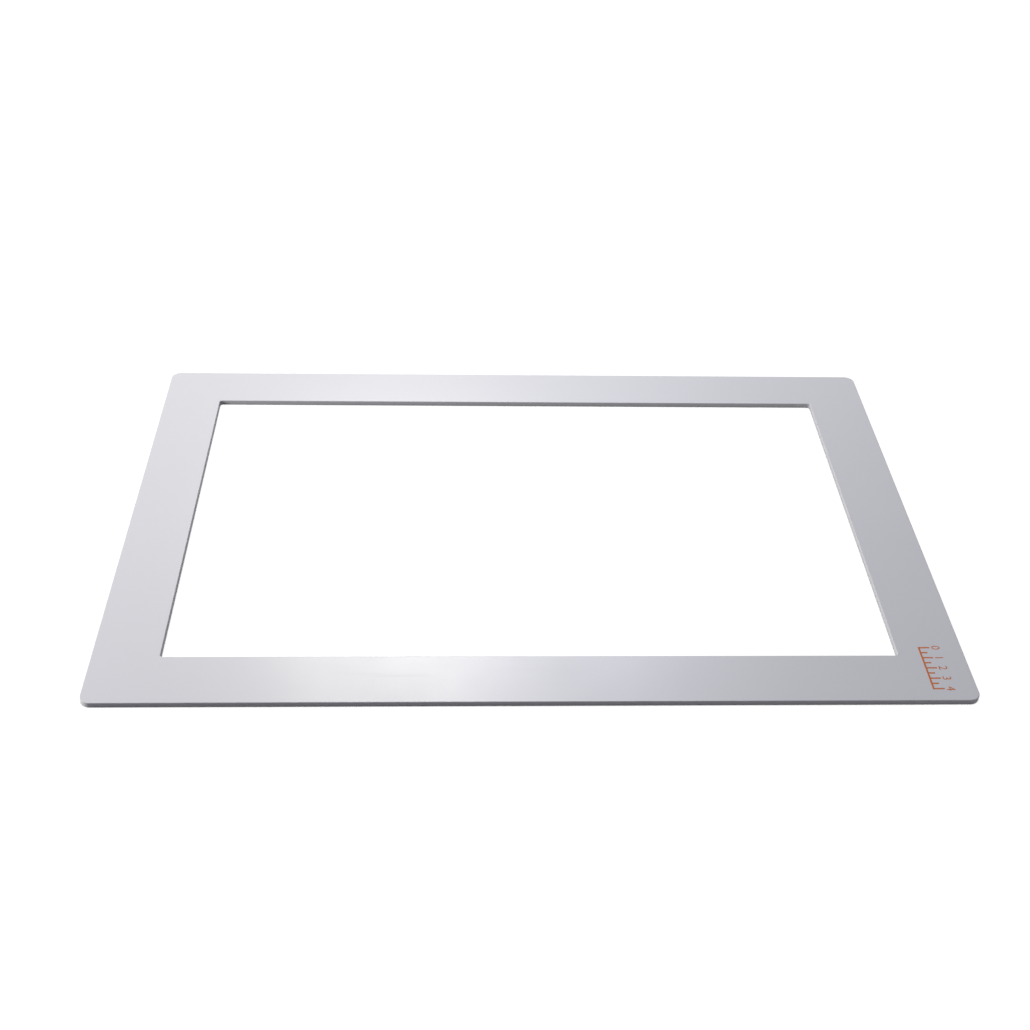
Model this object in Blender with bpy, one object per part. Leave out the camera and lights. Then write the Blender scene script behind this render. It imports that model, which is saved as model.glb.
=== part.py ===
"""A flat spreading frame for pastry work, cut in one piece from white plastic sheet.

Four bars run round an open window. The outer corners are rounded, the window's corners keep the small
radius of the cutter that milled them, and every rim is rounded over. Nothing is joined on and nothing moves.

Metres, +Z up. The origin is the middle of the underside. X runs along the long side, and the front is
towards -Y.
"""

import bpy

# The sheet and the bars that the window leaves, in metres.
FRAME_LENGTH = 0.600
FRAME_WIDTH = 0.400
SHEET_THICKNESS = 0.004
SIDE_BAR_WIDTH = 0.0465
LONG_BAR_WIDTH = 0.0435

# Corners seen from above, and the round-over along every rim, in metres.
OUTER_CORNER_RADIUS = 0.0075
WINDOW_CORNER_RADIUS = 0.002
RIM_RADIUS = 0.0005

# A round-over can take up no more than this share of the sheet's thickness on each face.
RIM_LIMIT = 0.45

# Facets along a quarter turn.
OUTER_CORNER_FACETS = 12
WINDOW_CORNER_FACETS = 6
RIM_FACETS = 4

# Handle length of a Bezier quarter circle, as a share of its radius.
QUARTER_CIRCLE_HANDLE = 4 / 3 * (2**0.5 - 1)

SHEET_COLOUR = (0.70, 0.70, 0.73, 1.0)
SHEET_ROUGHNESS = 0.33


def clear_scene():
    for leftover in list(bpy.data.objects):
        bpy.data.objects.remove(leftover)


def new_collection(name):
    collection = bpy.data.collections.new(name)
    bpy.context.scene.collection.children.link(collection)
    return collection


def white_plastic():
    """Satin, food-safe plastic sheet, white with a cool cast."""
    material = bpy.data.materials.new("white_plastic_sheet")
    material.use_nodes = True
    shader = material.node_tree.nodes["Principled BSDF"]
    shader.inputs["Base Color"].default_value = SHEET_COLOUR
    shader.inputs["Roughness"].default_value = SHEET_ROUGHNESS
    shader.inputs["Metallic"].default_value = 0.0
    return material


def add_rounded_rectangle(curve, length, width, radius, facets):
    """Adds a closed outline, centred on the origin: four straight sides between four quarter circles."""
    spline = curve.splines.new("BEZIER")
    spline.use_cyclic_u = True
    spline.resolution_u = facets
    spline.bezier_points.add(7)
    points = iter(spline.bezier_points)
    handle = radius * QUARTER_CIRCLE_HANDLE
    # Each corner, anticlockwise from the right front one, with the directions in which the outline
    # enters and leaves it.
    corners = (
        ((1, -1), (1, 0), (0, 1)),
        ((1, 1), (0, 1), (-1, 0)),
        ((-1, 1), (-1, 0), (0, -1)),
        ((-1, -1), (0, -1), (1, 0)),
    )
    for (sign_x, sign_y), enter, leave in corners:
        corner_x = sign_x * length / 2
        corner_y = sign_y * width / 2
        arc_start, arc_end = next(points), next(points)
        arc_start.co = (corner_x - radius * enter[0], corner_y - radius * enter[1], 0)
        arc_end.co = (corner_x + radius * leave[0], corner_y + radius * leave[1], 0)
        arc_start.handle_left_type = arc_end.handle_right_type = "VECTOR"
        arc_start.handle_right_type = arc_end.handle_left_type = "FREE"
        arc_start.handle_right = (arc_start.co.x + handle * enter[0], arc_start.co.y + handle * enter[1], 0)
        arc_end.handle_left = (arc_end.co.x - handle * leave[0], arc_end.co.y - handle * leave[1], 0)


def make_frame_plate(collection):
    """The whole frame: two outlines filled as a ring, as thick as the sheet, with rounded rims."""
    rim = min(RIM_RADIUS, RIM_LIMIT * SHEET_THICKNESS)
    outline = bpy.data.curves.new("frame_plate", "CURVE")
    outline.dimensions = "2D"
    outline.fill_mode = "BOTH"
    add_rounded_rectangle(outline, FRAME_LENGTH, FRAME_WIDTH, OUTER_CORNER_RADIUS, OUTER_CORNER_FACETS)
    add_rounded_rectangle(
        outline,
        FRAME_LENGTH - 2 * SIDE_BAR_WIDTH,
        FRAME_WIDTH - 2 * LONG_BAR_WIDTH,
        WINDOW_CORNER_RADIUS,
        WINDOW_CORNER_FACETS,
    )
    # The round-over swells outwards from the outlines, so they are first drawn in by the same amount.
    outline.extrude = SHEET_THICKNESS / 2 - rim
    outline.bevel_depth = rim
    outline.bevel_resolution = RIM_FACETS - 1
    outline.offset = -rim

    plate = bpy.data.objects.new("frame_plate", outline)
    plate.location.z = SHEET_THICKNESS / 2
    plate.data.materials.append(white_plastic())
    collection.objects.link(plate)
    return plate


def main():
    clear_scene()
    make_frame_plate(new_collection("spreading_frame"))


main()
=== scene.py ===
# %% [markdown]
# # A pastry spreading frame
# The object is a flat frame of white plastic sheet, as long and wide as a bakery tray. It is laid on baking
# paper, batter is poured into its window, and a palette knife is drawn along its bars, so that the cake
# comes out in one even layer. It is one piece with no moving parts, so nearly all of its looks come from
# three things: exact rounded edges, a satin surface, and soft light that slides over that surface.
#
# The CAD model is loaded first. Everything below is measured in metres in the same frame: X along the
# frame, Y across it, Z up from the table.

import math

import bmesh
import bpy
from mathutils import Matrix, Vector


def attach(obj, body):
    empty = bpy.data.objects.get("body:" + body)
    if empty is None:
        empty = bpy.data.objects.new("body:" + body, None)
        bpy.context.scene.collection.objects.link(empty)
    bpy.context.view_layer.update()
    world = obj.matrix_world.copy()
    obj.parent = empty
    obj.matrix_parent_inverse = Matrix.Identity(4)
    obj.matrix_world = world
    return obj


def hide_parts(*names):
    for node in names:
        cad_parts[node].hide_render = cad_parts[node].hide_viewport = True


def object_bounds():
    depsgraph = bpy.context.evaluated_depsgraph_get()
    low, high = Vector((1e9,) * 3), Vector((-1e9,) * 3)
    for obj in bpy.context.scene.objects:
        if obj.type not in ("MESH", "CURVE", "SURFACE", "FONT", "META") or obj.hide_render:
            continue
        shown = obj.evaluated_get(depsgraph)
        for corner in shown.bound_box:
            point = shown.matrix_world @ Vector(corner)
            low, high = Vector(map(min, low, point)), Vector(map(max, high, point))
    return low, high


MM_PER_METRE = 1000

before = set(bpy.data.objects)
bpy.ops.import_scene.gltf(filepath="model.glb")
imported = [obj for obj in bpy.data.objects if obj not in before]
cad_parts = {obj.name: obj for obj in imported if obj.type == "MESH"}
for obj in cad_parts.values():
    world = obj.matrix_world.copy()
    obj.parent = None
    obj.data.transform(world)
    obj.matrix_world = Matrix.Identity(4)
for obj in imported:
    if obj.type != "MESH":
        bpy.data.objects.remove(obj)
cad_low, cad_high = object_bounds()
frame_length, frame_width, cad_thickness = cad_high - cad_low
print("CAD box in mm:", [round(side * MM_PER_METRE, 2) for side in cad_high - cad_low])

# %% [markdown]
# ## The camera
# The frame lies a little turned below a camera that looks down at about 38 degrees. The camera could be
# placed by eye, but straight edges allow better: its place, turn and lens were found by fitting the edges
# of a 600 x 400 mm frame to the picture. The lens came out at almost 50 mm on a 36 mm sensor, which is a
# normal lens for catalogue work.

# %% Camera
CAMERA_PLACE = (-0.05487, -0.86062, 0.68073)
CAMERA_TURN_DEGREES = (51.839, -1.635, -1.872)
CAMERA_LENS_MM = 49.602
CAMERA_SENSOR_MM = 36.0

camera = bpy.data.objects.new("camera", bpy.data.cameras.new("camera"))
bpy.context.scene.collection.objects.link(camera)
camera.location = CAMERA_PLACE
camera.rotation_euler = [math.radians(turn) for turn in CAMERA_TURN_DEGREES]
camera.data.sensor_width = CAMERA_SENSOR_MM
camera.data.lens = CAMERA_LENS_MM
bpy.context.scene.camera = camera
print(f"camera {camera.location.length:.2f} m from the middle of the frame")

# %% [markdown]
# ## The sheet, cut to a frame
# In the workshop a router cuts the outline and the window out of a flat sheet. The mesh follows that order.
# A rectangle is cut along the four window lines with bisect_plane, which leaves nine faces. The middle one
# is taken out, and the ring of eight is given its thickness. One big face with a hole in it would be
# quicker to make, but a ring of rectangles bevels more cleanly.
#
# The sheet is drawn a few hundredths of a millimetre thinner than the CAD solid. That leaves room for the
# film of ink on top, so that the dressed part stays inside the CAD box.

# %% Rectangle, window lines and thickness
SIDE_BAR_WIDTH = 0.0465
LONG_BAR_WIDTH = 0.0435
INK_FILM = 0.00003
UNIT_HALF = 0.5

sheet_thickness = cad_thickness - INK_FILM
window_half_length = frame_length / 2 - SIDE_BAR_WIDTH
window_half_width = frame_width / 2 - LONG_BAR_WIDTH

sheet = bmesh.new()
bmesh.ops.create_grid(sheet, x_segments=1, y_segments=1, size=UNIT_HALF)
bmesh.ops.scale(sheet, vec=(frame_length, frame_width, 1), verts=sheet.verts)
window_lines = [
    (Vector((window_half_length, 0, 0)), Vector((1, 0, 0))),
    (Vector((-window_half_length, 0, 0)), Vector((1, 0, 0))),
    (Vector((0, window_half_width, 0)), Vector((0, 1, 0))),
    (Vector((0, -window_half_width, 0)), Vector((0, 1, 0))),
]
for line_point, line_normal in window_lines:
    everything = sheet.verts[:] + sheet.edges[:] + sheet.faces[:]
    bmesh.ops.bisect_plane(sheet, geom=everything, plane_co=line_point, plane_no=line_normal)
window_face = min(sheet.faces, key=lambda face: face.calc_center_median().length)
bmesh.ops.delete(sheet, geom=[window_face], context="FACES")
bmesh.ops.solidify(sheet, geom=sheet.faces[:], thickness=sheet_thickness)
lowest = min(vertex.co.z for vertex in sheet.verts)
bmesh.ops.translate(sheet, vec=(0, 0, -lowest), verts=sheet.verts)
bmesh.ops.recalc_face_normals(sheet, faces=sheet.faces)
window_length_mm = 2 * window_half_length * MM_PER_METRE
print(f"ring of sheet: {len(sheet.faces)} faces, window {window_length_mm:.0f} mm long")

# %% [markdown]
# ## Corners and rims
# A router bit can't leave a sharp corner inside a window, so the window corners keep a small radius. The
# outer corners are rounded further, because sharp ones would scratch a tray. All edges are then broken to a
# narrow rounded rim that is kind to hands. A Bevel modifier could do the rims, but it has one width for
# everything it finds, so the bevel operator is called for each kind of edge. A profile of 0.5 makes a
# circular arc. The upright corner edges come first and the rims second, so that the rims run round the
# corners in one sweep.

# %% Rounded corners, then rounded rims
OUTER_CORNER_RADIUS = 0.0075
WINDOW_CORNER_RADIUS = 0.002
RIM_RADIUS = 0.0005
OUTER_CORNER_STEPS = 18
WINDOW_CORNER_STEPS = 10
RIM_STEPS = 7
ROUND_PROFILE = 0.5
SAME_MATERIAL = -1
FLAT = 0.999
TINY = 1e-6


def upright_edges_at(half_length, half_width):
    found = []
    for edge in sheet.edges:
        middle = (edge.verts[0].co + edge.verts[1].co) / 2
        at_corner = abs(abs(middle.x) - half_length) < TINY and abs(abs(middle.y) - half_width) < TINY
        upright = abs(edge.verts[0].co.z - edge.verts[1].co.z) > TINY
        if at_corner and upright:
            found.append(edge)
    return found


corner_rounds = [
    (frame_length / 2, frame_width / 2, OUTER_CORNER_RADIUS, OUTER_CORNER_STEPS),
    (window_half_length, window_half_width, WINDOW_CORNER_RADIUS, WINDOW_CORNER_STEPS),
]
for half_length, half_width, radius, steps in corner_rounds:
    corner_edges = upright_edges_at(half_length, half_width)
    bmesh.ops.bevel(
        sheet,
        geom=corner_edges,
        offset=radius,
        affect="EDGES",
        segments=steps,
        profile=ROUND_PROFILE,
        material=SAME_MATERIAL,
    )
    print(f"{len(corner_edges)} corners rounded to {radius * MM_PER_METRE:.1f} mm")

sheet.normal_update()
rim_edges = [
    edge
    for edge in sheet.edges
    if len(edge.link_faces) == 2
    and sorted(abs(face.normal.z) > FLAT for face in edge.link_faces) == [False, True]
]
bmesh.ops.bevel(
    sheet,
    geom=rim_edges,
    offset=RIM_RADIUS,
    affect="EDGES",
    segments=RIM_STEPS,
    profile=ROUND_PROFILE,
    material=SAME_MATERIAL,
)
print(f"{len(rim_edges)} rim edges rounded to {RIM_RADIUS * MM_PER_METRE:.1f} mm, {len(sheet.faces)} faces")

# %% [markdown]
# ## The plate becomes a piece
# The finished mesh is put in an object at the origin and stands for the CAD node. Two finishes are needed:
# the broad faces keep the skin that the sheet was pressed with, and everything else was cut, so each face
# is given the number of its finish. Smooth shading alone would tilt the broad faces towards their rims. A
# Weighted Normal modifier lets the larger face rule where two meet, so that the bars render flat up to
# their edge.

# %% Make the object
PRESSED_SKIN = 0
CUT_EDGE = 1
LARGEST_FACE_RULES = 100

sheet.normal_update()
for face in sheet.faces:
    face.smooth = True
    face.material_index = PRESSED_SKIN if abs(face.normal.z) > FLAT else CUT_EDGE

plate_mesh = bpy.data.meshes.new("plate")
sheet.to_mesh(plate_mesh)
sheet.free()
plate = bpy.data.objects.new("plate", plate_mesh)
bpy.context.scene.collection.objects.link(plate)
rim_shading = plate.modifiers.new("rim_shading", "WEIGHTED_NORMAL")
rim_shading.weight = LARGEST_FACE_RULES
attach(plate, "root")
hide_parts("frame_plate")
print(f"plate: {len(plate_mesh.polygons)} faces")

# %% [markdown]
# ## Tools for the finishes
# A few small helpers are enough for all materials. Colours are written as the hex values that a paint
# program shows, which are sRGB, while shaders count in linear light, so one function converts them. Another
# turns a size in millimetres into a texture scale, because Object coordinates are in metres. The last adds
# one node, sets it up and links it in a single call. Sockets of the Mix node share their names, so those go
# by number.

# %% Helpers for colours, sizes and nodes
HEX_PAIRS = (1, 3, 5)
HEX_BASE = 16
FULL_CHANNEL = 255
SRGB_KNEE = 0.04045
SRGB_SLOPE = 12.92
SRGB_OFFSET = 0.055
SRGB_POWER = 2.4
MIX_FACTOR, MIX_FIRST, MIX_SECOND, MIX_RESULT = 0, 6, 7, 2


def linear(hex_colour):
    channels = [int(hex_colour[at : at + 2], HEX_BASE) / FULL_CHANNEL for at in HEX_PAIRS]
    light = [
        c / SRGB_SLOPE if c <= SRGB_KNEE else ((c + SRGB_OFFSET) / (1 + SRGB_OFFSET)) ** SRGB_POWER
        for c in channels
    ]
    return (*light, 1.0)


def per_metre(millimetres):
    return MM_PER_METRE / millimetres


def add_node(tree, kind, inputs=None, **settings):
    made = tree.nodes.new(kind)
    for name, value in settings.items():
        setattr(made, name, value)
    for socket, value in (inputs or {}).items():
        if isinstance(value, bpy.types.NodeSocket):
            tree.links.new(value, made.inputs[socket])
        else:
            made.inputs[socket].default_value = value
    return made


def new_material(name):
    material = bpy.data.materials.new(name)
    material.use_nodes = True
    material.node_tree.nodes.clear()
    return material, material.node_tree


print("mid grey as linear light:", [round(channel, 3) for channel in linear("#808080")])

# %% [markdown]
# ## The pressed skin of the sheet
# High-density polyethylene is the white of chopping boards. Pressed into sheet it has a waxy satin skin:
# light smears into wide soft patches, and there is a very fine grain. A clean one is nearly even in colour,
# with slow clouds of a percent or two and the odd dark speck. One flat colour would look like paper, so the
# clouds are wide noise, and the specks are the middles of Voronoi cells.

# %% Colour of the pressed polyethylene
SKIN_WHITE = "#DBDBDF"
SKIN_CLOUD = "#D6D6DB"
SKIN_SPECK = "#B4B0AC"
CLOUD_MM = 90
CLOUD_DETAIL = 3.0
SPECK_SPACING_MM = 26
SPECK_RADIUS_MM = 0.28

pressed_skin, skin = new_material("pressed_polyethylene_skin")
skin_place = add_node(skin, "ShaderNodeTexCoord").outputs["Object"]
clouds = add_node(
    skin,
    "ShaderNodeTexNoise",
    {"Vector": skin_place, "Scale": per_metre(CLOUD_MM), "Detail": CLOUD_DETAIL},
).outputs["Fac"]
clouded = add_node(
    skin,
    "ShaderNodeMix",
    {MIX_FACTOR: clouds, MIX_FIRST: linear(SKIN_WHITE), MIX_SECOND: linear(SKIN_CLOUD)},
    data_type="RGBA",
).outputs[MIX_RESULT]
speck_distance = add_node(
    skin, "ShaderNodeTexVoronoi", {"Vector": skin_place, "Scale": per_metre(SPECK_SPACING_MM)}
).outputs["Distance"]
speck = add_node(
    skin,
    "ShaderNodeMapRange",
    {
        "Value": speck_distance,
        "From Min": 0.0,
        "From Max": SPECK_RADIUS_MM / SPECK_SPACING_MM,
        "To Min": 1.0,
        "To Max": 0.0,
    },
).outputs["Result"]
speckled = add_node(
    skin,
    "ShaderNodeMix",
    {MIX_FACTOR: speck, MIX_FIRST: clouded, MIX_SECOND: linear(SKIN_SPECK)},
    data_type="RGBA",
).outputs[MIX_RESULT]
print(f"skin: clouds {CLOUD_MM} mm wide, specks {SPECK_SPACING_MM} mm apart")

# %% [markdown]
# Wiping leaves hairlines on the skin. They are noise stretched along one direction by a Mapping node, and a
# Map Range keeps only its crests, so that thin separate lines are left. Real wiping marks change the gloss
# more than the colour, so they go to the roughness and the relief.

# %% Hairlines
HAIRLINE_MM = 1.5
HAIRLINE_STRETCH = 60
HAIRLINE_TURN = math.radians(12)
HAIRLINE_DETAIL = 2.0
HAIRLINE_FOOT = 0.66
HAIRLINE_CREST = 0.76

across_lines = per_metre(HAIRLINE_MM)
hairline_place = add_node(
    skin,
    "ShaderNodeMapping",
    {
        "Vector": skin_place,
        "Rotation": (0, 0, HAIRLINE_TURN),
        "Scale": (across_lines / HAIRLINE_STRETCH, across_lines, across_lines),
    },
).outputs["Vector"]
hairline_noise = add_node(
    skin, "ShaderNodeTexNoise", {"Vector": hairline_place, "Scale": 1.0, "Detail": HAIRLINE_DETAIL}
).outputs["Fac"]
hairlines = add_node(
    skin,
    "ShaderNodeMapRange",
    {
        "Value": hairline_noise,
        "From Min": HAIRLINE_FOOT,
        "From Max": HAIRLINE_CREST,
        "To Min": 0.0,
        "To Max": 1.0,
    },
).outputs["Result"]
print(f"hairlines about {HAIRLINE_MM * HAIRLINE_STRETCH:.0f} mm long")

# %% [markdown]
# The grain of the skin is really about a quarter of a millimetre wide. It is drawn three times coarser, so
# that it shows at all. The gloss follows the slow clouds, as it does on a sheet that cooled unevenly in the
# press.

# %% Grain, gloss and shader of the skin
GRAIN_MM = 0.8
GRAIN_DETAIL = 1.0
GRAIN_DEPTH = 0.000004
SKIN_ROUGHNESS = 0.33
SKIN_ROUGHNESS_SPREAD = 0.03
HAIRLINE_DULLING = 0.08
HAIRLINE_CUT = -1.0
NOISE_LOW = 0.3
NOISE_HIGH = 0.7
POLYETHYLENE_IOR = 1.54

waxiness = add_node(
    skin,
    "ShaderNodeMapRange",
    {
        "Value": clouds,
        "From Min": NOISE_LOW,
        "From Max": NOISE_HIGH,
        "To Min": SKIN_ROUGHNESS - SKIN_ROUGHNESS_SPREAD,
        "To Max": SKIN_ROUGHNESS + SKIN_ROUGHNESS_SPREAD,
    },
).outputs["Result"]
gloss = add_node(
    skin, "ShaderNodeMath", {0: hairlines, 1: HAIRLINE_DULLING, 2: waxiness}, operation="MULTIPLY_ADD"
).outputs["Value"]
grain = add_node(
    skin,
    "ShaderNodeTexNoise",
    {"Vector": skin_place, "Scale": per_metre(GRAIN_MM), "Detail": GRAIN_DETAIL},
).outputs["Fac"]
scored_grain = add_node(
    skin, "ShaderNodeMath", {0: hairlines, 1: HAIRLINE_CUT, 2: grain}, operation="MULTIPLY_ADD"
).outputs["Value"]
skin_relief = add_node(
    skin, "ShaderNodeBump", {"Height": scored_grain, "Strength": 1.0, "Distance": GRAIN_DEPTH}
).outputs["Normal"]
skin_shader = add_node(
    skin,
    "ShaderNodeBsdfPrincipled",
    {"Base Color": speckled, "Roughness": gloss, "Normal": skin_relief, "IOR": POLYETHYLENE_IOR},
)
add_node(skin, "ShaderNodeOutputMaterial", {"Surface": skin_shader.outputs["BSDF"]})
plate_mesh.materials.append(pressed_skin)
print(f"skin: roughness about {SKIN_ROUGHNESS}, grain {GRAIN_MM} mm")

# %% [markdown]
# ## The cut edges
# Where the router went, the skin is gone. The cut is a touch duller, and fine feed lines run along it,
# level with the table. The rounded rims look different again. Along the top, scrapers and hands have
# rubbed the plastic matt. Along the bottom, the colour is painted darker in blotches: painted shade where
# the rim meets the table. The zones could be painted on separate faces, but height above the table
# already tells them apart, so Z drives them.

# %% Zones of the cut edge
cut_edge, edge = new_material("milled_polyethylene_edge")
edge_place = add_node(edge, "ShaderNodeTexCoord").outputs["Object"]
height = add_node(edge, "ShaderNodeSeparateXYZ", {"Vector": edge_place}).outputs["Z"]
rubbed = add_node(
    edge,
    "ShaderNodeMapRange",
    {
        "Value": height,
        "From Min": sheet_thickness - RIM_RADIUS,
        "From Max": sheet_thickness - RIM_RADIUS / 2,
        "To Min": 0.0,
        "To Max": 1.0,
    },
).outputs["Result"]
# Painted shade: the lower rim turns darker towards the table.
foot_shade_zone = add_node(
    edge,
    "ShaderNodeMapRange",
    {"Value": height, "From Min": RIM_RADIUS / 2, "From Max": RIM_RADIUS, "To Min": 1.0, "To Max": 0.0},
).outputs["Result"]
print(f"edge zones: the upper and the lower {RIM_RADIUS * MM_PER_METRE:.1f} mm")

# %% Colours of the cut edge
EDGE_WHITE = "#DADADE"
EDGE_SHADE = "#D0D0D3"
# Painted shade for the lower rim, where it meets the table.
FOOT_SHADE_GREY = "#B6B4B4"
EDGE_BLOTCH_MM = 14
EDGE_BLOTCH_DETAIL = 4.0

blotches = add_node(
    edge,
    "ShaderNodeTexNoise",
    {"Vector": edge_place, "Scale": per_metre(EDGE_BLOTCH_MM), "Detail": EDGE_BLOTCH_DETAIL},
).outputs["Fac"]
milled_colour = add_node(
    edge,
    "ShaderNodeMix",
    {MIX_FACTOR: blotches, MIX_FIRST: linear(EDGE_WHITE), MIX_SECOND: linear(EDGE_SHADE)},
    data_type="RGBA",
).outputs[MIX_RESULT]
# Painted shade on the lower rim, blotchy, mixed into the edge colour.
blotchy_foot_shade = add_node(
    edge, "ShaderNodeMath", {0: foot_shade_zone, 1: blotches}, operation="MULTIPLY"
).outputs["Value"]
edge_colour = add_node(
    edge,
    "ShaderNodeMix",
    {MIX_FACTOR: blotchy_foot_shade, MIX_FIRST: milled_colour, MIX_SECOND: linear(FOOT_SHADE_GREY)},
    data_type="RGBA",
).outputs[MIX_RESULT]
print(f"edge blotches {EDGE_BLOTCH_MM} mm wide")

# %% [markdown]
# The feed lines are a Wave texture that is banded along Z. At a scale of 1 it repeats every 2 pi / 20
# units, so its scale is worked out from the spacing of the lines. Real lines are about a tenth of a
# millimetre apart, and they are drawn about four times coarser, so that they show. Rubbing wears them away
# along the top, and takes the shine with them.

# %% Relief and gloss of the cut edge
FEED_LINE_MM = 0.45
FEED_LINE_DEPTH = 0.00001
FEED_LINE_WANDER = 0.6
FEED_LINE_DETAIL = 1.0
EDGE_ROUGHNESS_LOW = 0.34
EDGE_ROUGHNESS_HIGH = 0.46
EDGE_SHINE = 0.5
WAVE_PERIOD = 2 * math.pi / 20

edge_gloss = add_node(
    edge,
    "ShaderNodeMapRange",
    {
        "Value": blotches,
        "From Min": NOISE_LOW,
        "From Max": NOISE_HIGH,
        "To Min": EDGE_ROUGHNESS_LOW,
        "To Max": EDGE_ROUGHNESS_HIGH,
    },
).outputs["Result"]
feed_lines = add_node(
    edge,
    "ShaderNodeTexWave",
    {
        "Vector": edge_place,
        "Scale": WAVE_PERIOD * per_metre(FEED_LINE_MM),
        "Distortion": FEED_LINE_WANDER,
        "Detail": FEED_LINE_DETAIL,
    },
    wave_type="BANDS",
    bands_direction="Z",
).outputs["Fac"]
unrubbed = add_node(edge, "ShaderNodeMath", {0: 1.0, 1: rubbed}, operation="SUBTRACT").outputs["Value"]
edge_shine = add_node(
    edge, "ShaderNodeMath", {0: unrubbed, 1: EDGE_SHINE}, operation="MULTIPLY"
).outputs["Value"]
edge_relief = add_node(
    edge, "ShaderNodeBump", {"Height": feed_lines, "Strength": unrubbed, "Distance": FEED_LINE_DEPTH}
).outputs["Normal"]
edge_shader = add_node(
    edge,
    "ShaderNodeBsdfPrincipled",
    {
        "Base Color": edge_colour,
        "Roughness": edge_gloss,
        "Specular IOR Level": edge_shine,
        "Normal": edge_relief,
        "IOR": POLYETHYLENE_IOR,
    },
)
add_node(edge, "ShaderNodeOutputMaterial", {"Surface": edge_shader.outputs["BSDF"]})
plate_mesh.materials.append(cut_edge)
print(f"cut edge: feed lines every {FEED_LINE_MM} mm")

# %% [markdown]
# ## The printed scale
# Near one corner of the right-hand bar a small centimetre scale is printed in orange, to measure off strips
# and slices. Screen print is a film of ink a few hundredths of a millimetre thick. It could be painted on
# with the skin's shader, but a film with edges of its own stays sharp at any distance and shows in the mesh
# too. The line and its marks are one flat comb: a strip is cut where each mark begins and ends, the short
# edges between the cuts are extruded sideways, and the comb is given its thickness.

# %% Line and marks of the scale
SCALE_START = (0.2705, -0.149)
SCALE_STEP = 0.005
SCALE_STEPS = 8
STEPS_PER_NUMBER = 2
SCALE_LINE = 0.0013
LONG_MARK = 0.0068
SHORT_MARK = 0.0042

start_x, start_y = SCALE_START
scale_length = SCALE_STEP * SCALE_STEPS
mark_places = [start_y - SCALE_STEP * step for step in range(SCALE_STEPS + 1)]
number_places = mark_places[::STEPS_PER_NUMBER]

comb = bmesh.new()
bmesh.ops.create_grid(comb, x_segments=1, y_segments=1, size=UNIT_HALF)
bmesh.ops.scale(comb, vec=(SCALE_LINE, scale_length + SCALE_LINE, 1), verts=comb.verts)
bmesh.ops.translate(comb, vec=(start_x - SCALE_LINE / 2, start_y - scale_length / 2, 0), verts=comb.verts)
cut_places = [place + side * SCALE_LINE / 2 for place in mark_places for side in (-1, 1)]
for cut_place in cut_places:
    everything = comb.verts[:] + comb.edges[:] + comb.faces[:]
    bmesh.ops.bisect_plane(
        comb, geom=everything, dist=TINY, plane_co=(0, cut_place, 0), plane_no=(0, 1, 0)
    )
print(f"strip {scale_length * MM_PER_METRE:.0f} mm long, cut into {len(comb.faces)} fields")

# %% Extrude the marks
for step, mark_place in enumerate(mark_places):
    foot = min(
        (edge for edge in comb.edges if all(abs(end.co.x - start_x) < TINY for end in edge.verts)),
        key=lambda edge: abs((edge.verts[0].co.y + edge.verts[1].co.y) / 2 - mark_place),
    )
    grown = bmesh.ops.extrude_edge_only(comb, edges=[foot])["geom"]
    tips = [part for part in grown if isinstance(part, bmesh.types.BMVert)]
    mark_length = SHORT_MARK if step % STEPS_PER_NUMBER else LONG_MARK
    bmesh.ops.translate(comb, vec=(mark_length, 0, 0), verts=tips)
bmesh.ops.solidify(comb, geom=comb.faces[:], thickness=INK_FILM)
lowest = min(vertex.co.z for vertex in comb.verts)
bmesh.ops.translate(comb, vec=(0, 0, sheet_thickness - lowest), verts=comb.verts)
bmesh.ops.recalc_face_normals(comb, faces=comb.faces)
print(f"scale with {len(mark_places)} marks, {len(comb.faces)} faces")

# %% [markdown]
# The numbers are text objects, which Blender fills and extrudes by itself. That is easier than drawing
# figures by hand. Each is made a mesh before it is put in its place, turned so that it reads along the bar.
# The fill can leave a triangle with no area, which beautify_fill removes by turning an edge.

# %% Numbers of the scale
NUMBER_SIZE = 0.0085
NUMBER_GAP = 0.0014
NUMBER_CURVE_STEPS = 4
QUARTER_TURN = math.radians(90)
MATRIX_SIZE = 4

number_turn = Matrix.Rotation(-QUARTER_TURN, MATRIX_SIZE, "Z")
for number, mark_place in enumerate(number_places):
    figure = bpy.data.curves.new("scale_number", "FONT")
    figure.body = str(number)
    figure.size = NUMBER_SIZE
    figure.align_x = "CENTER"
    figure.extrude = INK_FILM / 2
    figure.resolution_u = NUMBER_CURVE_STEPS
    holder = bpy.data.objects.new("scale_number", figure)
    number_mesh = bpy.data.meshes.new_from_object(holder)
    place = Vector((start_x + LONG_MARK + NUMBER_GAP, mark_place, sheet_thickness + INK_FILM / 2))
    number_mesh.transform(Matrix.Translation(place) @ number_turn)
    comb.from_mesh(number_mesh)
    bpy.data.objects.remove(holder)
    bpy.data.curves.remove(figure)
    bpy.data.meshes.remove(number_mesh)
bmesh.ops.remove_doubles(comb, verts=comb.verts, dist=TINY)
bmesh.ops.beautify_fill(comb, faces=comb.faces[:], edges=comb.edges[:], method="AREA")

scale_mesh = bpy.data.meshes.new("printed_scale")
comb.to_mesh(scale_mesh)
comb.free()
printed_scale = bpy.data.objects.new("printed_scale", scale_mesh)
bpy.context.scene.collection.objects.link(printed_scale)
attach(printed_scale, "root")
print(f"{len(number_places)} numbers, {len(scale_mesh.polygons)} faces of ink")

# %% [markdown]
# Screen ink is thinner where the mesh of the screen pressed hardest, so its colour is mottled at about half
# a millimetre and the white shows through a little. It is duller than the sheet that it lies on. The mottle
# could be a regular screen pattern, but prints of this kind are blotchy, so it is noise.

# %% Screen-printed ink
INK_ORANGE = "#BE560A"
INK_THIN = "#CC7A30"
INK_MOTTLE_MM = 0.5
INK_MOTTLE_DETAIL = 2.0
INK_ROUGHNESS = 0.5
INK_IOR = 1.5

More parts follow.
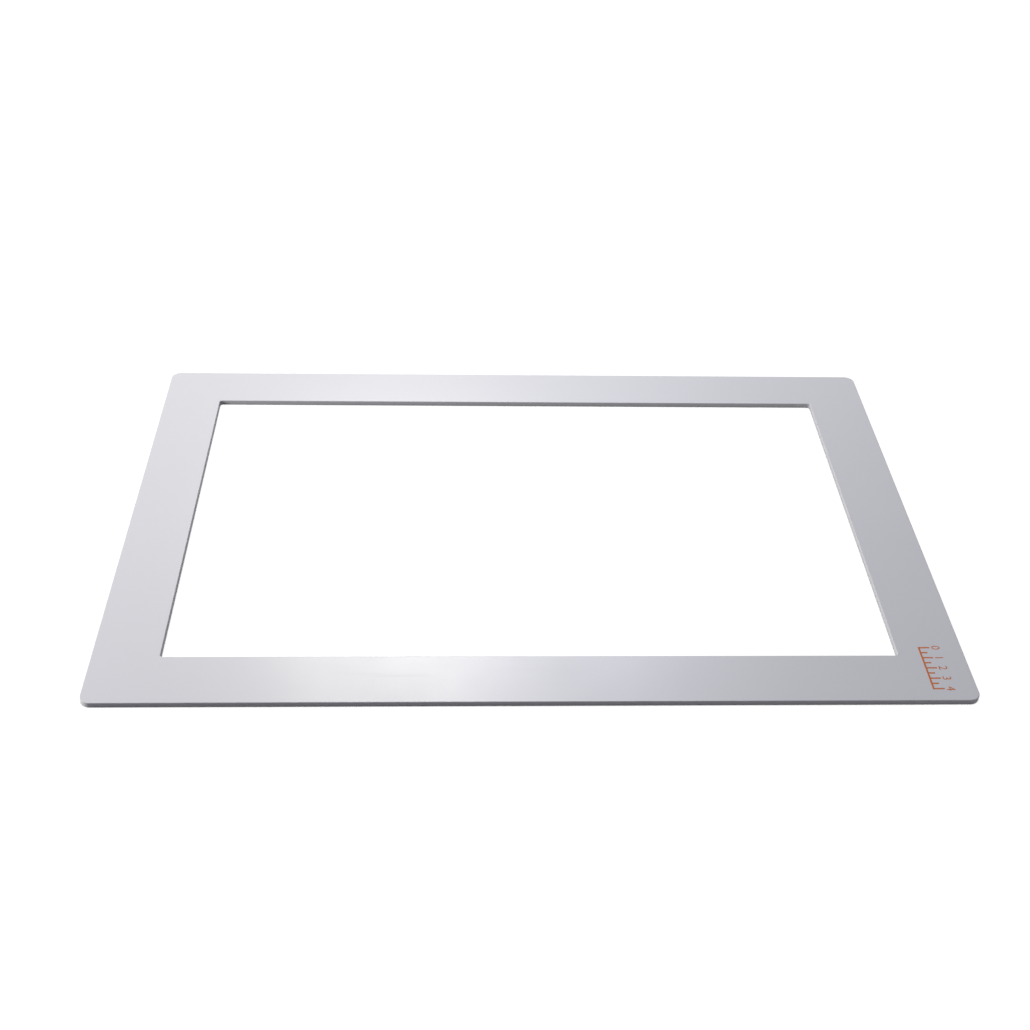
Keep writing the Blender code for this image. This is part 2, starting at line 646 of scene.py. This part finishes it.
screen_ink, ink = new_material("screen_printed_ink")
ink_place = add_node(ink, "ShaderNodeTexCoord").outputs["Object"]
mottle = add_node(
    ink,
    "ShaderNodeTexNoise",
    {"Vector": ink_place, "Scale": per_metre(INK_MOTTLE_MM), "Detail": INK_MOTTLE_DETAIL},
).outputs["Fac"]
ink_colour = add_node(
    ink,
    "ShaderNodeMix",
    {MIX_FACTOR: mottle, MIX_FIRST: linear(INK_ORANGE), MIX_SECOND: linear(INK_THIN)},
    data_type="RGBA",
).outputs[MIX_RESULT]
ink_shader = add_node(
    ink,
    "ShaderNodeBsdfPrincipled",
    {"Base Color": ink_colour, "Roughness": INK_ROUGHNESS, "IOR": INK_IOR},
)
add_node(ink, "ShaderNodeOutputMaterial", {"Surface": ink_shader.outputs["BSDF"]})
scale_mesh.materials.append(screen_ink)
print("ink:", INK_ORANGE, "thinning to", INK_THIN)

# %% [markdown]
# ## Floor
# The frame lies on plain white, with hardly any shadow. To the camera, and in reflections, the floor glows
# white by itself and adds what light falls on it, so that the shadow stays. To the light that bounces
# about, it is only grey, because a truly white table would fill the dark front edge of the sheet with
# light. Light Path tells the kinds of ray apart.
#
# Where the rounded rim leaves the table, a real sheet shows a thin dark line, and the glow would wash it
# out. An Ambient Occlusion node measures how open each point of the floor is within a small reach, and
# less open points glow less. The camera gets a narrow line. Reflections get a wider and softer shade,
# because the upright edge mirrors the strip of floor in front of it, which lies in the sheet's own shade.

# %% A wide floor under the frame
FLOOR_HALF_SIZE = 6.0
FLOOR_DROP = 0.00005

floor_shape = bmesh.new()
bmesh.ops.create_grid(floor_shape, x_segments=1, y_segments=1, size=FLOOR_HALF_SIZE)
bmesh.ops.translate(floor_shape, vec=(0, 0, -FLOOR_DROP), verts=floor_shape.verts)
floor_mesh = bpy.data.meshes.new("floor")
floor_shape.to_mesh(floor_mesh)
floor_shape.free()
floor = bpy.data.objects.new("floor", floor_mesh)
bpy.context.scene.collection.objects.link(floor)
print(f"floor {FLOOR_HALF_SIZE * 2:.0f} m wide")

# %% White glow that keeps a shadow
# A shade is its reach in metres, the openness at which the glow is gone and the one at which it is full.
CONTACT_LINE = (0.0015, 0.25, 0.62)
MIRRORED_SHADE = (0.008, 0.5, 1.0)
OPENNESS_RAYS = 4
PURE_WHITE = "#FFFFFF"
FLOOR_GREY = "#6C6A6A"
FLOOR_GLOW = 0.97

studio_floor, ground = new_material("studio_floor")
rays = add_node(ground, "ShaderNodeLightPath").outputs
glow = 0.0
for ray_kind, (reach, dark, clear) in (
    ("Is Camera Ray", CONTACT_LINE),
    ("Is Transmission Ray", CONTACT_LINE),
    ("Is Glossy Ray", MIRRORED_SHADE),
):
    openness = add_node(
        ground, "ShaderNodeAmbientOcclusion", {"Distance": reach}, samples=OPENNESS_RAYS
    ).outputs["AO"]
    shaded_glow = add_node(
        ground,
        "ShaderNodeMapRange",
        {"Value": openness, "From Min": dark, "From Max": clear, "To Min": 0.0, "To Max": FLOOR_GLOW},
    ).outputs["Result"]
    ray_glow = add_node(
        ground, "ShaderNodeMath", {0: rays[ray_kind], 1: shaded_glow}, operation="MULTIPLY"
    ).outputs["Value"]
    glow = add_node(ground, "ShaderNodeMath", {0: glow, 1: ray_glow}, operation="MAXIMUM").outputs["Value"]
floor_glow = add_node(ground, "ShaderNodeEmission", {"Color": linear(PURE_WHITE), "Strength": glow})
floor_grey = add_node(ground, "ShaderNodeBsdfDiffuse", {"Color": linear(FLOOR_GREY)})
floor_light = add_node(
    ground, "ShaderNodeAddShader", {0: floor_glow.outputs["Emission"], 1: floor_grey.outputs["BSDF"]}
)
add_node(ground, "ShaderNodeOutputMaterial", {"Surface": floor_light.outputs["Shader"]})
floor_mesh.materials.append(studio_floor)
print(f"floor glow {FLOOR_GLOW} plus shadow-keeping grey {FLOOR_GREY}")

# %% [markdown]
# ## Light
# A satin skin tells where the lamps are. A bright soft patch lies on both long bars a little left of the
# middle, so a soft box hangs behind the frame, where the skin mirrors it towards the camera. A weaker and
# larger one beside it lets the patch fade slowly to the right. The left side is lighter than the right one,
# and the window's wall on the right is lighter than the bar above it, so a third box stands low on the
# left. A weak, wide one at the right front keeps that corner and the front edge from sinking into the dark.
# One wide window of light could do instead, but it would make the bars equally bright from end to end.
#
# The rest is a dim, cool room, which leaves the front edge darker than the top. The camera sees a white
# backdrop instead of the room, and so do mirrored and refracted rays.

# %% Soft boxes and room
# Each box has a name, a place and a size in metres, its power in watts and its colour.
SOFT_BOXES = [
    ("back_box", (-0.16, 0.95, 0.90), (0.30, 0.30), 6.35, "#FFFDF2"),
    ("back_fill", (0.14, 0.95, 0.90), (0.40, 0.40), 3.27, "#EBEDFF"),
    ("left_box", (-1.60, -0.15, 0.60), (0.40, 0.40), 27.00, "#FFFEFA"),
    ("right_box", (1.00, -1.00, 0.60), (1.20, 1.20), 2.60, "#FEFFEE"),
]
ROOM_COLOUR = "#BCC0FF"
ROOM_LIGHT = 0.10
BACKDROP_WHITE = 0.99

for name, place, size, watts, colour in SOFT_BOXES:
    box = bpy.data.lights.new(name, "AREA")
    box.shape = "RECTANGLE"
    box.size, box.size_y = size
    box.energy = watts
    box.color = linear(colour)[:3]
    lamp = bpy.data.objects.new(name, box)
    bpy.context.scene.collection.objects.link(lamp)
    lamp.location = place
    lamp.rotation_euler = (-Vector(place)).to_track_quat("-Z", "Y").to_euler()
    lamp.visible_camera = False
    print(f"{name}: {watts} W at {place}")

room = bpy.data.worlds.new("room")
bpy.context.scene.world = room
room.use_nodes = True
room.node_tree.nodes.clear()
room_rays = add_node(room.node_tree, "ShaderNodeLightPath").outputs
shows_white = 0.0
for ray_kind in ("Is Camera Ray", "Is Transmission Ray", "Is Glossy Ray"):
    shows_white = add_node(
        room.node_tree, "ShaderNodeMath", {0: shows_white, 1: room_rays[ray_kind]}, operation="MAXIMUM"
    ).outputs["Value"]
dim = add_node(
    room.node_tree, "ShaderNodeBackground", {"Color": linear(ROOM_COLOUR), "Strength": ROOM_LIGHT}
)
white = add_node(
    room.node_tree, "ShaderNodeBackground", {"Color": linear(PURE_WHITE), "Strength": BACKDROP_WHITE}
)
backdrop = add_node(
    room.node_tree,
    "ShaderNodeMixShader",
    {0: shows_white, 1: dim.outputs["Background"], 2: white.outputs["Background"]},
)
add_node(room.node_tree, "ShaderNodeOutputWorld", {"Surface": backdrop.outputs["Shader"]})
bpy.context.scene.view_settings.view_transform = "Standard"
print(f"room light {ROOM_LIGHT}")
